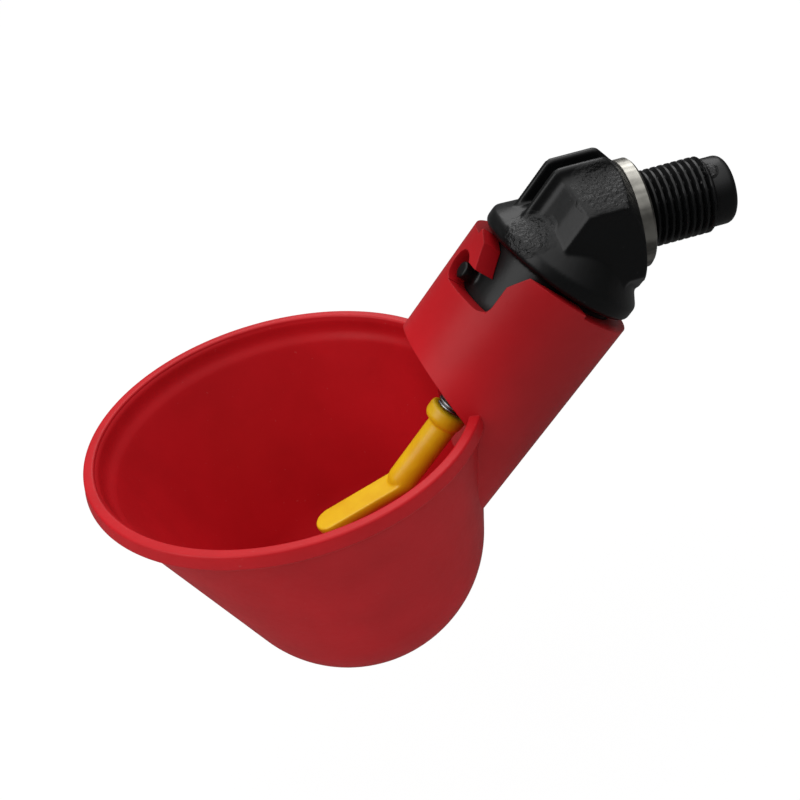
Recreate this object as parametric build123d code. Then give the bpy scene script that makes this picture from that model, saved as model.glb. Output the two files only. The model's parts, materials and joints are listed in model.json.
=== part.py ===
from build123d import *
import os
from math import acos, atan2, cos, degrees, hypot, radians, sin, sqrt, tan

# Poultry drinking cup: a red cup with a leaning tube, hung by two bayonet pins on a black elbow
# valve that screws into a water line, and worked by a yellow trigger in the cup. Millimetres,
# +Z up. The origin is on the thread's axis at the outer face of the steel ring, the face that
# meets the water line; +X runs along the thread, away from the cup. The part is symmetric
# about the XZ plane, apart from the bayonet slots and the stepped top edge of the cup's tube.

# Threaded nipple, G1/8
thread_major_d = 9.728
thread_pitch = 0.907
thread_turns = 10
thread_end_chamfer = 0.2
thread_relief_d = 8.6
pilot_d = 8.7
pilot_length = 2.7
pilot_round = 1.0
waterway_d = 4.4

# Steel ring at the root of the thread
ring_d = 13.9
ring_thickness = 1.85
ring_chamfer = 0.3
ring_gap = 0.1

# Elbow: two legs of one section that meet in a mitre, a faceted body with two ribs on its top
elbow_reach = 6.35
tube_lean = 45.0
body_width = 16.0
keel_width = 8.0
keel_depth = 8.3
side_top_height = 5.1
side_foot_height = 4.6
facet_width = 11.3
facet_height = 6.5
facet_edge_round = 0.6
leg_end_d = 16.0
leg_end_drop = 1.2
leg_end_bevel = 50.0
rib_spacing = 3.1
rib_width = 0.95
rib_height = 9.2
rib_groove_depth = 2.0
rib_foot_width = 4.8
rib_foot_height = 7.9
rib_root_round = 1.5
rib_edge_round = 0.4
rib_bend_round = 2.0
rib_end_setback = 1.9
rib_end_round = 2.0

# Collar, dome and stub, on the tube's axis below the elbow
elbow_drop = 7.05
collar_gap = 0.15
collar_d = 21.8
collar_height = 2.1
collar_round = 0.8
dome_top_d = 15.0
dome_height = 6.0
dome_round = 3.0
stub_length = 12.5
stub_chamfer = 0.6

# Bayonet pins on the stub
pin_d = 2.3
pin_depth = 5.7
pin_end_radius = 10.9

# Tube of the cup
tube_d = 23.1
tube_bore_d = 18.0
tube_running_gap = 0.08
tube_edge_round = 0.3

# Top edge of the tube, lower between the slots than at their hooks
rim_step_depth = 0.35
rim_step_end = 0.8
rim_step_start_angle = 50.0
rim_step_kink_angle = 92.0
rim_step_end_angle = 178.0

# Bayonet slots, as widths and depths seen square on to the slot
slot_floor_depth = 7.6
slot_far_wall = 7.8
slot_mouth_flare = 1.3
slot_flare_depth = 3.0
slot_corner_round = 1.6
pocket_d = 4.2
pocket_depth = 5.4
hook_lip_depth = 4.1
hook_tip_reach = 3.45
hook_neck_reach = 1.9
hook_lead_in = 1.0
hook_lead_in_start = 0.5

# Bowl: a round rim drawn down on to a ball
rim_d = 52.8
rim_drop = 15.5
rim_to_tube_axis = 27.6
lip_width = 1.45
lip_height = 1.25
lip_proud = 0.35
lip_edge_round = 0.3
ball_d = 37.4
ball_forward = 4.6
ball_drop = 20.9
bowl_wall = 1.35
ledge_depth = 3.1
ledge_step = 0.3

# Mouth of the tube inside the bowl
mouth_setback = 21.1
mouth_tilt = 25.0
bore_overrun = 33.0

# Valve chamber in the stub: rubber seat, retaining bush, stem
seat_depth = 5.0
seat_d = 9.4
seat_thickness = 1.8
seat_hole_d = 3.2
chamber_d = 8.0
chamber_height = 6.0
bush_length = 5.0
bush_neck_d = 3.4
bush_neck_height = 1.4
spring_pocket_d = 6.4
stem_d = 1.2
stem_head_d = 5.6
stem_head_thickness = 1.0
seat_clearance = 0.3
stem_grip = 4.0

# Trigger: a headed rod that bends forward into a flat-topped tongue
trigger_head_depth = 23.1
trigger_head_d = 5.5
trigger_head_height = 2.5
trigger_head_round = 1.1
trigger_head_top_round = 0.55
trigger_rod_d = 4.1
trigger_droop = 0.5
tongue_slope = 18.3
tongue_start = 11.6
tongue_start_drop = 14.85
tongue_flat_offset = 0.55
tongue_tip_reach = 2.3

# Return spring on the stem
spring_outer_d = 4.5
spring_wire_d = 0.46
spring_end_gap = 0.05
spring_turn_overlap = 0.02
spring_pitch = 1.35
spring_seat_gap = 0.3

# Directions and points that follow from the sizes above
lean = radians(tube_lean)
tube_up = Vector(sin(lean), 0, cos(lean))
tube_front = Vector(-cos(lean), 0, sin(lean))
elbow_point = Vector(-elbow_reach, 0, 0)
tube_top = elbow_point - tube_up * elbow_drop
tube_frame = Plane(origin=tube_top, x_dir=tube_front, z_dir=tube_up)
rim_centre = Vector(-elbow_reach - rim_drop * tan(lean) - rim_to_tube_axis, 0, -rim_drop)
rim_frame = Plane(origin=rim_centre, x_dir=(1, 0, 0), z_dir=(0, 0, 1))
thread_length = thread_turns * thread_pitch
stub_d = tube_bore_d - 2 * tube_running_gap
big = 200.0
overshoot = 1.0
hair = 0.001


def in_tube(solid):
    """Place a solid drawn about Z, with the tube's top at zero, on the leaning tube's axis."""
    return tube_frame.location * solid


def turned(points):
    """Revolve a closed (radius, height) outline about Z."""
    return revolve(Plane.XZ * make_face(Polyline(*points, close=True)), Axis.Z)


def along_x(solid):
    """Turn a solid drawn about Z so that its axis lies along +X."""
    return Rot(0, 90, 0) * solid


def tangent_point(rim_x, ball_radius):
    """Where the line from a rim point at rim_x touches the ball, in the plane of symmetry."""
    across = rim_x - ball_forward
    side = 1 if across > 0 else -1
    distance = hypot(across, ball_drop)
    angle = atan2(ball_drop, abs(across)) - acos(ball_radius / distance)
    return Vector(ball_forward + side * ball_radius * cos(angle), 0, -ball_drop + ball_radius * sin(angle))


def drawn_bowl(rim_radius, ball_radius):
    """Solid drawn from a round rim down to a ball that it touches all round."""
    front = tangent_point(-rim_radius, ball_radius)
    back = tangent_point(rim_radius, ball_radius)
    across = back - front
    middle = (front + back) * 0.5
    joint = Plane(origin=middle, x_dir=across, z_dir=across.cross(Vector(0, 1, 0)))
    rim = make_face(Circle(rim_radius).edges())
    band = joint * make_face(Circle(across.length / 2).edges())
    wall = loft([rim, band], ruled=True)
    ball = Pos(ball_forward, 0, -ball_drop) * Sphere(ball_radius)
    cap = split(ball, bisect_by=joint, keep=Keep.BOTTOM)
    return wall + cap


def make_bowl_solid():
    """Outside of the bowl with its rolled lip."""
    wall_rim = rim_d / 2 - lip_proud
    body = drawn_bowl(wall_rim, ball_d / 2)
    lip = Cylinder(rim_d / 2, lip_height, align=(Align.CENTER, Align.CENTER, Align.MAX))
    lip = fillet(lip.edges(), lip_edge_round)
    return body + lip


def make_bowl_hollow():
    """Inside of the bowl, with a shallow ledge under the lip."""
    inner_rim = rim_d / 2 - lip_width
    upper = drawn_bowl(inner_rim, ball_d / 2 - bowl_wall + ledge_step)
    keep_top = Pos(0, 0, -ledge_depth) * Box(big, big, big, align=(Align.CENTER, Align.CENTER, Align.MIN))
    upper = upper & keep_top
    lower = drawn_bowl(inner_rim - ledge_step, ball_d / 2 - bowl_wall)
    return upper + lower


def make_slot_cutter():
    """Side core of one bayonet slot, drawn square on to the tube's front and pushed through its wall."""
    neck = (hook_neck_reach, -hook_lead_in)
    outline = make_face(
        Polyline(
            (-hook_lead_in_start, overshoot),
            (-hook_lead_in_start, 0),
            neck,
            (hook_tip_reach, -hook_lip_depth),
            (0, -hook_lip_depth),
            (0, -slot_floor_depth),
            (slot_far_wall, -slot_floor_depth),
            (slot_far_wall, -slot_flare_depth),
            (slot_far_wall + slot_mouth_flare, 0),
            (slot_far_wall + slot_mouth_flare, overshoot),
            close=True,
        )
    )
    corner = outline.vertices().sort_by_distance((slot_far_wall, -slot_floor_depth, 0))[0]
    outline = fillet(corner, slot_corner_round)
    pocket = Pos(0, -pocket_depth) * Circle(pocket_d / 2)
    square_on = Plane(origin=(0, 0, 0), x_dir=(0, 1, 0), z_dir=(1, 0, 0))
    return extrude(square_on * (outline + pocket), amount=tube_d)


def make_rim_step():
    """Wedges that lower the tube's top edge on one side, between one slot and the next."""
    step = None
    spans = ((rim_step_start_angle, rim_step_depth), (rim_step_kink_angle, rim_step_end))
    for angle, depth in spans:
        ring = Cylinder(
            tube_d, 2 * depth, rotation=(0, 0, angle), arc_size=rim_step_end_angle - angle
        )
        step = ring if step is None else step + ring
    return step


def make_cup():
    """Bowl and leaning tube, moulded in one, with two bayonet slots."""
    bowl = rim_frame.location * make_bowl_solid()
    hollow = rim_frame.location * make_bowl_hollow()
    outside = Cylinder(tube_d / 2, bore_overrun, align=(Align.CENTER, Align.CENTER, Align.MAX))
    outside = fillet(outside.edges().sort_by(Axis.Z)[-1], tube_edge_round)
    tube = in_tube(outside)
    tilt = radians(mouth_tilt)
    mouth = Plane(
        origin=rim_centre + Vector(mouth_setback, 0, 0), x_dir=(0, 1, 0), z_dir=(-cos(tilt), 0, -sin(tilt))
    )
    in_front = extrude(mouth * Rectangle(big, big), amount=big)
    over_rim = Pos(*rim_centre) * Box(big, big, big, align=(Align.CENTER, Align.CENTER, Align.MIN))
    tube = tube - (in_front & (over_rim + hollow))
    cup = (bowl - hollow) + tube
    below = (Align.CENTER, Align.CENTER, Align.MAX)
    bore = Cylinder(tube_bore_d / 2, bore_overrun + overshoot, align=below)
    cup = cup - in_tube(Pos(0, 0, overshoot) * bore)
    step = make_rim_step()
    slot = make_slot_cutter()
    for turn in (0, 180):
        cup = cup - in_tube(Rot(0, 0, turn) * slot)
        cup = cup - in_tube(Rot(0, 0, turn) * step)
    return cup


def leg_section():
    """Faceted body, widest at its sides, with two ribs along its top and a groove between them."""
    side = body_width / 2
    groove = (rib_spacing - rib_width) / 2
    rib = (rib_spacing + rib_width) / 2
    foot = rib_foot_width / 2
    right = [
        (groove, rib_height - rib_groove_depth),
        (groove, rib_height),
        (rib, rib_height),
        (foot, rib_foot_height),
        (facet_width / 2, facet_height),
        (side, side_top_height),
        (side, -side_foot_height),
        (keel_width / 2, -keel_depth),
    ]
    left = [(-y, z) for y, z in reversed(right)]
    section = make_face(Polyline(*right, *left, close=True))
    feet = [v for v in section.vertices() if abs(v.Y - rib_foot_height) < hair]
    section = fillet(feet, rib_root_round)
    tops = [v for v in section.vertices() if abs(v.Y - rib_height) < hair]
    section = fillet(tops, rib_edge_round)
    facets = [v for v in section.vertices() if v.Y < facet_height + hair]
    return fillet(facets, facet_edge_round)


def make_elbow():
    """Two legs of one section, cut and joined on the mitre between them."""
    section = leg_section()
    level = Plane(origin=elbow_point, x_dir=(0, 1, 0), z_dir=(1, 0, 0))
    leaning = Plane(origin=elbow_point, x_dir=(0, 1, 0), z_dir=tube_up)
    level_leg = extrude(level * section, amount=elbow_reach - ring_thickness)
    level_leg += extrude(level * section, amount=-body_width)
    leaning_leg = extrude(leaning * section, amount=-(elbow_drop - collar_gap - collar_height / 2))
    leaning_leg += extrude(leaning * section, amount=body_width)
    mitre = Plane(origin=elbow_point, x_dir=(0, 1, 0), z_dir=Vector(1, 0, 0) + tube_up)
    level_leg = split(level_leg, bisect_by=mitre, keep=Keep.TOP)
    leaning_leg = split(leaning_leg, bisect_by=mitre, keep=Keep.BOTTOM)
    level_leg = level_leg & make_end_chamfer()
    return (level_leg + leaning_leg) & make_side_outline()


def make_end_chamfer():
    """Cone that bevels the level leg at the ring, most at its top, because its axis lies lower."""
    face_radius = leg_end_d / 2
    slope = tan(radians(leg_end_bevel))
    length = elbow_reach + body_width
    points = [
        (0, 0),
        (0, length),
        (face_radius + length * slope, length),
        (face_radius, 0),
    ]
    return Pos(-ring_thickness, 0, -leg_end_drop) * Rot(0, -90, 0) * turned(points)


def make_side_outline():
    """Elbow's outline from the side, rounded where the ribs bend and where they end."""
    bend = elbow_point + Vector(-rib_height * tan(lean / 2), 0, rib_height)
    down = bend - tube_up * big
    crest = -ring_thickness - rib_end_setback
    foot = rib_height + crest * tan(radians(leg_end_bevel))
    points = [(bend.X, bend.Z), (crest, rib_height), (0, foot), (0, -big), (down.X, -big), (down.X, down.Z)]
    face = make_face(Polyline(*points, close=True))
    for corner, radius in ((points[0], rib_bend_round), (points[1], rib_end_round)):
        face = fillet(face.vertices().sort_by_distance((*corner, 0))[0], radius)
    return extrude(Plane.XZ * face, amount=body_width, both=True)


def make_collar_and_stub():
    """Round collar, dome above it and the stub that goes down into the tube."""
    edge = collar_d / 2
    shoulder = collar_gap + collar_height
    dome = turned(
        [
            (0, collar_gap),
            (edge, collar_gap),
            (edge, shoulder),
            (dome_top_d / 2, collar_gap + dome_height),
            (0, collar_gap + dome_height),
        ]
    )
    edges = dome.edges().filter_by(GeomType.CIRCLE).sort_by(Axis.Z)
    dome = fillet(edges[-1], dome_round)
    rim = [e for e in dome.edges().filter_by(GeomType.CIRCLE) if e.radius > edge - hair]
    dome = fillet(rim, collar_round)
    stub = Cylinder(stub_d / 2, stub_length + collar_gap, align=(Align.CENTER, Align.CENTER, Align.MAX))
    stub = chamfer(stub.edges().sort_by(Axis.Z)[0], stub_chamfer)
    behind = (Align.MAX, Align.CENTER, Align.CENTER)
    behind_ring = Pos(-ring_thickness, 0, 0) * Box(big, big, big, align=behind)
    return in_tube(dome + Pos(0, 0, collar_gap) * stub) & behind_ring


def make_bayonet_pins():
    """Two round pins, front and back, that stand out of the stub."""
    pin = Pos(0, 0, -pin_depth) * Rot(0, 90, 0) * Cylinder(pin_d / 2, 2 * pin_end_radius)
    return in_tube(pin)


def make_nipple():
    """Threaded spigot as its major cylinder, and the plain rounded pilot at its end."""
    thread = Cylinder(thread_major_d / 2, thread_length, align=(Align.CENTER, Align.CENTER, Align.MIN))
    thread = chamfer(thread.edges().sort_by(Axis.Z)[-1], thread_end_chamfer)
    neck = Cylinder(thread_relief_d / 2, elbow_reach, align=(Align.CENTER, Align.CENTER, Align.MAX))
    above = (Align.CENTER, Align.CENTER, Align.MIN)
    pilot = Cylinder(pilot_d / 2, thread_length + pilot_length, align=above)
    pilot = fillet(pilot.edges().sort_by(Axis.Z)[-1], pilot_round)
    return along_x(thread + pilot + neck)


def make_valve_body():
    """Nipple, elbow, collar, stub and pins in one moulding, bored for the water and the valve."""
    body = make_elbow() + make_collar_and_stub() + make_nipple()
    body = body + make_bayonet_pins()
    inlet = Cylinder(waterway_d / 2, big, align=(Align.CENTER, Align.CENTER, Align.MIN))
    body = body - Pos(-elbow_reach, 0, 0) * along_x(inlet)
    chamber_top = -seat_depth + chamber_height
    down = Pos(0, 0, chamber_top) * Cylinder(
        waterway_d / 2, elbow_drop - chamber_top, align=(Align.CENTER, Align.CENTER, Align.MIN)
    )
    bend = Pos(0, 0, elbow_drop) * Sphere(waterway_d / 2)
    chamber = Pos(0, 0, -seat_depth) * Cylinder(
        chamber_d / 2, chamber_height, align=(Align.CENTER, Align.CENTER, Align.MIN)
    )
    below = (Align.CENTER, Align.CENTER, Align.MAX)
    pocket = Pos(0, 0, -seat_depth) * Cylinder(seat_d / 2, big, align=below)
    return body - in_tube(down + bend + chamber + pocket)


def make_thread_ring():
    """Steel ring against the elbow's end, with its outer edge bevelled."""
    inner = thread_major_d / 2 + ring_gap
    outer = ring_d / 2
    points = [
        (inner, -ring_thickness),
        (outer, -ring_thickness),
        (outer, -ring_chamfer),
        (outer - ring_chamfer, 0),
        (inner, 0),
    ]
    return along_x(turned(points))


def make_seat():
    """Rubber washer that the stem's head closes on, under the chamber's shoulder."""
    top = -seat_depth
    bottom = top - seat_thickness
    hole = seat_hole_d / 2
    outer = seat_d / 2
    return in_tube(turned([(hole, top), (outer, top), (outer, bottom), (hole, bottom)]))


def make_bush():
    """Plastic bush pressed into the stub to hold the seat, with a pocket for the spring."""
    top = -seat_depth - seat_thickness
    bottom = top - bush_length
    neck = bush_neck_d / 2
    pocket = spring_pocket_d / 2
    outer = seat_d / 2
    step = top - bush_neck_height
    return in_tube(
        turned([(neck, top), (outer, top), (outer, bottom), (pocket, bottom), (pocket, step), (neck, step)])
    )


def make_stem():
    """Steel stem: a flat head above the seat and a pin down into the trigger."""
    head_bottom = -seat_depth + seat_clearance
    head_top = head_bottom + stem_head_thickness
    foot = -trigger_head_depth - stem_grip
    head = stem_head_d / 2
    pin = stem_d / 2
    return in_tube(
        turned([
            (0, foot),
            (pin, foot),
            (pin, head_bottom),
            (head, head_bottom),
            (head, head_top),
            (0, head_top),
        ])
    )


def make_trigger():
    """Headed rod that bends forward into a round-ended tongue with a flat top."""
    radius = trigger_rod_d / 2
    slope = radians(tongue_slope)
    forward = Vector(-cos(slope), 0, -sin(slope))
    flat_normal = Vector(-sin(slope), 0, cos(slope))
    flat_point = rim_centre + Vector(tongue_start, 0, -tongue_start_drop)
    rod_top = tube_top - tube_up * trigger_head_depth - tube_front * trigger_droop
    depth = (flat_normal.dot(rod_top - flat_point) + tongue_flat_offset) / flat_normal.dot(tube_up)
    bend = rod_top - tube_up * depth
    reach = (flat_point - bend).dot(forward) + (tongue_start - tongue_tip_reach) / cos(slope)
    tongue_frame = Plane(origin=bend, x_dir=(0, 1, 0), z_dir=forward)
    tongue = extrude(tongue_frame * Circle(radius), amount=reach)
    tongue += Pos(*(bend + forward * reach)) * Sphere(radius)
    rod_frame = Plane(origin=bend, x_dir=(0, 1, 0), z_dir=tube_up)
    rod = extrude(rod_frame * Circle(radius), amount=depth - trigger_head_height / 2)
    rod += Pos(*bend) * Sphere(radius)
    flat = Plane(origin=flat_point, x_dir=(0, 1, 0), z_dir=flat_normal)
    above_flat = extrude(flat * Rectangle(big, big), amount=big)
    tongue = tongue - above_flat
    head = Pos(0, 0, -trigger_head_depth) * Cylinder(
        trigger_head_d / 2, trigger_head_height, align=(Align.CENTER, Align.CENTER, Align.MAX)
    )
    head = fillet(head.edges().sort_by(Axis.Z)[0], trigger_head_round)
    head = fillet(head.edges().filter_by(GeomType.CIRCLE).sort_by(Axis.Z)[-1], trigger_head_top_round)
    hole = Pos(0, 0, -trigger_head_depth) * Cylinder(
        stem_d / 2, stem_grip, align=(Align.CENTER, Align.CENTER, Align.MAX)
    )
    return rod + tongue + in_tube(head) - in_tube(hole)


def make_spring():
    """Compression spring round the stem, from the trigger's head up into the bush."""
    wire = spring_wire_d / 2
    coil = spring_outer_d / 2 - wire
    bottom = -trigger_head_depth + spring_end_gap + wire
    top = -seat_depth - seat_thickness - bush_neck_height - spring_seat_gap - wire
    closed = spring_wire_d - spring_turn_overlap
    height = top - bottom - closed
    path = Helix(height / round(height / spring_pitch), height, coil)
    start = Plane(origin=path @ 0, z_dir=path % 0)
    turns = Pos(0, 0, bottom + closed) * sweep(start * Circle(wire), path=path, is_frenet=True)
    for end in (bottom, bottom + closed, top):
        turns += Pos(0, 0, end) * Torus(coil, wire)
    return in_tube(turns)


def main():
    os.makedirs("parts", exist_ok=True)
    pieces = {
        "cup": make_cup(),
        "valve_body": make_valve_body(),
        "thread_ring": make_thread_ring(),
        "valve_seat": make_seat(),
        "retaining_bush": make_bush(),
        "valve_stem": make_stem(),
        "trigger": make_trigger(),
        "trigger_spring": make_spring(),
    }
    for name, solid in pieces.items():
        export_step(solid, f"parts/{name}.step")


main()
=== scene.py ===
"""Surfaces, finishes, light and camera for the poultry drinking cup.

Shapes are worked out in millimetres in the part's own frame, and become metres when a mesh is made.
The origin is on the thread's axis at the steel ring's outer face, +X runs out along the thread and
+Z is up.
"""

import json
import logging
from dataclasses import dataclass, field
from enum import Enum
from functools import cache, reduce
from typing import Optional, Sequence, Union

import bmesh
import bpy
import numpy as np
from mathutils import Matrix, Vector


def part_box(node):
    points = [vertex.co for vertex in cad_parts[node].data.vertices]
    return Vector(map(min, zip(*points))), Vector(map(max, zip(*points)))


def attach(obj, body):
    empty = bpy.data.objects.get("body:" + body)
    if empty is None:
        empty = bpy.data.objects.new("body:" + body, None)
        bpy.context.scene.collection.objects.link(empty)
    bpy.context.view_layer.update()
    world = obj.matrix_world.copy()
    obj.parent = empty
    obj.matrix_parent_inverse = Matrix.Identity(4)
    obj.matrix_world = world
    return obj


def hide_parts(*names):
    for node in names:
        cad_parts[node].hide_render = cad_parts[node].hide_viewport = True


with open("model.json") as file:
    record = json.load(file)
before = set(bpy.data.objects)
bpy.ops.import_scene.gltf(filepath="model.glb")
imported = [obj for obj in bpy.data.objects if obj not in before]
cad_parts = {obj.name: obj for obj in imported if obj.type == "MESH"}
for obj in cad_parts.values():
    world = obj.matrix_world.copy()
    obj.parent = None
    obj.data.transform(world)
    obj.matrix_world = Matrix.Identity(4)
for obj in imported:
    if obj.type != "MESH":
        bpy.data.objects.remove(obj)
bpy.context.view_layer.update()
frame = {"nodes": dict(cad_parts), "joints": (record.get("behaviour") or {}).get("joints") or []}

Array = np.ndarray
MM = 0.001
# Points nearer than this, in metres, become one point.
MERGE_DISTANCE = 1e-6
SQUARE = np.array([[-1.0, -1.0], [1.0, -1.0], [1.0, 1.0], [-1.0, 1.0]])
LOG = logging.getLogger("drinking_cup")


def unit(vector: Sequence[float]) -> Array:
    """Return the vector at length one."""
    array = np.asarray(vector, float)
    return array / np.linalg.norm(array)


@dataclass(frozen=True)
class Layout:
    """Points and directions that the pieces share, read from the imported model, in millimetres."""

    tube_top: Array
    tube_up: Array
    rim_centre: Array
    rim_radius: float
    ring_back: float
    ring_radius: float

    @classmethod
    def from_frame(cls, rim_height: float) -> "Layout":
        """Read the layout from the bayonet's axis and the boxes of the cup and the ring.

        Args:
            rim_height: height of the bowl's rim above the thread's axis.

        Returns:
            The layout.
        """
        twist = next(joint for joint in frame["joints"] if joint["name"] == "cup_twist")
        cup_low, cup_high = (np.array(corner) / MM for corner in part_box("cup"))
        ring_low, ring_high = (np.array(corner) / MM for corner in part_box("thread_ring"))
        rim_radius = (cup_high[1] - cup_low[1]) / 2
        return cls(
            tube_top=np.array(twist["pos_m"]) / MM,
            tube_up=unit(twist["axis"]),
            rim_centre=np.array([cup_low[0] + rim_radius, 0.0, rim_height]),
            rim_radius=float(rim_radius),
            ring_back=float(ring_low[0]),
            ring_radius=float((ring_high[2] - ring_low[2]) / 2),
        )

    @property
    def tube_front(self) -> Array:
        """Direction square to the tube, up and towards the bowl."""
        return np.array([-self.tube_up[2], 0.0, self.tube_up[0]])

    def on_tube(self, points: Array) -> Array:
        """Place points drawn about Z, with the tube's top at zero, on the leaning tube's axis."""
        axes = np.stack([self.tube_front, [0.0, -1.0, 0.0], self.tube_up])
        return self.tube_top + points @ axes

    def on_rim(self, points: Array) -> Array:
        """Place points drawn about the rim's centre."""
        return self.rim_centre + points


def round_angles(steps: int) -> Array:
    """Angles of points spaced evenly round a circle, in radians."""
    return np.linspace(0.0, 2 * np.pi, steps, endpoint=False)


def circle(radius: Union[float, Array], height: Union[float, Array], steps: int) -> Array:
    """Work out circles about Z: x = r cos a, y = r sin a, z = height, one row for each radius.

    Args:
        radius: radius of each row.
        height: height of each row.
        steps: points on each circle.

    Returns:
        Points, shaped rows by steps by 3.
    """
    radius, height = np.broadcast_arrays(np.atleast_1d(radius), np.atleast_1d(height))
    angle = round_angles(steps)
    return np.stack(
        [
            radius[:, None] * np.cos(angle),
            radius[:, None] * np.sin(angle),
            np.broadcast_to(height[:, None], (len(radius), steps)),
        ],
        axis=-1,
    )


def lathe(profile: Sequence[Sequence[float]], steps: int) -> Array:
    """Turn a profile of radius and height pairs about Z, one row of the grid for each pair."""
    pairs = np.asarray(profile, float)
    return circle(pairs[:, 0], pairs[:, 1], steps)


def arc(centre: Sequence[float], radius: float, start: float, end: float, count: int = 8) -> Array:
    """Points on an arc in the profile plane: centre plus radius times cosine and sine of the angle."""
    angle = np.radians(np.linspace(start, end, count))
    return np.asarray(centre, float) + radius * np.stack([np.cos(angle), np.sin(angle)], axis=-1)


def smooth_step(share: Array) -> Array:
    """Rise from 0 to 1 as 3 s squared less 2 s cubed, level at both ends."""
    return share**2 * (3 - 2 * share)


def tube_along(path: Array, side: Array, radius: float, steps: int) -> Array:
    """Carry a circle along a path: each row is the path's point plus the radius round its tangent.

    Args:
        path: points of the centre line, shaped count by 3.
        side: for each point, a direction roughly square to the path.
        radius: radius of the wire.
        steps: points on each circle.

    Returns:
        Points, shaped count by steps by 3.
    """
    tangent = np.gradient(path, axis=0)
    tangent /= np.linalg.norm(tangent, axis=1, keepdims=True)
    first = side - tangent * np.sum(side * tangent, axis=1, keepdims=True)
    first /= np.linalg.norm(first, axis=1, keepdims=True)
    second = np.cross(tangent, first)
    angle = round_angles(steps)[:, None]
    ring = first[:, None] * np.cos(angle) + second[:, None] * np.sin(angle)
    return path[:, None] + radius * ring


def add_object(name: str, data: bpy.types.ID) -> bpy.types.Object:
    """Put a mesh, a lamp or a camera into the scene.

    Args:
        name: the new object's name.
        data: what the object holds.

    Returns:
        The object.
    """
    made = bpy.data.objects.new(name, data)
    bpy.context.scene.collection.objects.link(made)
    return made


def merge_doubles(mesh: bpy.types.Mesh, outwards: bool) -> None:
    """Merge a mesh's doubled points.

    Args:
        mesh: the mesh.
        outwards: whether its faces are then turned to point outwards.
    """
    shape = bmesh.new()
    shape.from_mesh(mesh)
    bmesh.ops.remove_doubles(shape, verts=shape.verts, dist=MERGE_DISTANCE)
    if outwards:
        bmesh.ops.recalc_face_normals(shape, faces=shape.faces)
    shape.to_mesh(mesh)
    shape.free()


def grid_mesh(name: str, grid: Array, looped: bool = False) -> bpy.types.Object:
    """Make a closed object of a grid of points, each row of which is joined round.

    Args:
        name: the object's name.
        grid: points in millimetres, shaped rows by columns by 3.
        looped: whether the last row joins the first, instead of a cap on each.

    Returns:
        The object, in metres, with its faces pointing outwards.
    """
    rows, columns = grid.shape[:2]
    index = np.arange(rows * columns).reshape(rows, columns)
    here = index if looped else index[:-1]
    below = np.roll(index, -1, axis=0)[: len(here)]
    quads = np.stack([here, np.roll(here, -1, axis=1), np.roll(below, -1, axis=1), below], axis=-1)
    caps = [] if looped else [index[0][::-1].tolist(), index[-1].tolist()]
    mesh = bpy.data.meshes.new(name)
    mesh.from_pydata((grid.reshape(-1, 3) * MM).tolist(), [], quads.reshape(-1, 4).tolist() + caps)
    merge_doubles(mesh, outwards=True)
    return add_object(name, mesh)


def cad_copy(node: str, name: str) -> bpy.types.Object:
    """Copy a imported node's mesh into a new object, with its doubled points merged.

    Args:
        node: the node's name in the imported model.
        name: the new object's name.

    Returns:
        The new object.
    """
    mesh = frame["nodes"][node].data.copy()
    merge_doubles(mesh, outwards=False)
    return add_object(name, mesh)


def settle(piece: bpy.types.Object, sharp_angle: float = 30.0) -> bpy.types.Object:
    """Apply a piece's modifiers and shade it smooth, apart from edges past an angle.

    Args:
        piece: the object.
        sharp_angle: angle in degrees from which an edge stays sharp.

    Returns:
        The same object with a plain mesh.
    """
    depsgraph = bpy.context.evaluated_depsgraph_get()
    depsgraph.update()
    mesh = bpy.data.meshes.new_from_object(piece.evaluated_get(depsgraph))
    piece.modifiers.clear()
    piece.data = mesh
    mesh.shade_smooth()
    mesh.set_sharp_from_angle(angle=np.radians(sharp_angle))
    return piece


class Cut(Enum):
    """How one closed mesh changes another."""

    JOIN = "UNION"
    REMOVE = "DIFFERENCE"


def combine(piece: bpy.types.Object, other: bpy.types.Object, how: Cut) -> bpy.types.Object:
    """Change a piece by another one, which is used up.

    Args:
        piece: the object that is changed.
        other: the object that is joined to it or cut out of it.
        how: which of the two.

    Returns:
        The changed piece.
    """
    modifier = piece.modifiers.new(how.name.lower(), "BOOLEAN")
    modifier.operation = how.value
    modifier.object = other
    modifier.solver = "EXACT"
    modifier.use_hole_tolerant = True
    settle(piece)
    bpy.data.objects.remove(other)
    return piece


def soften(piece: bpy.types.Object, voxel: float, passes: int) -> bpy.types.Object:
    """Melt overlapping closed meshes into one skin of even cells and smooth it.

    Args:
        piece: the object.
        voxel: cell size in millimetres.
        passes: smoothing passes, which round the edges by about a cell.

    Returns:
        The same object with the new skin.
    """
    remesh = piece.modifiers.new("skin", "REMESH")
    remesh.mode = "VOXEL"
    remesh.voxel_size = voxel * MM
    remesh.adaptivity = 0.0
    smooth = piece.modifiers.new("smooth", "SMOOTH")
    smooth.factor = 0.5
    smooth.iterations = passes
    return settle(piece, sharp_angle=180.0)


Number = Union[float, "Value"]


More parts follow.
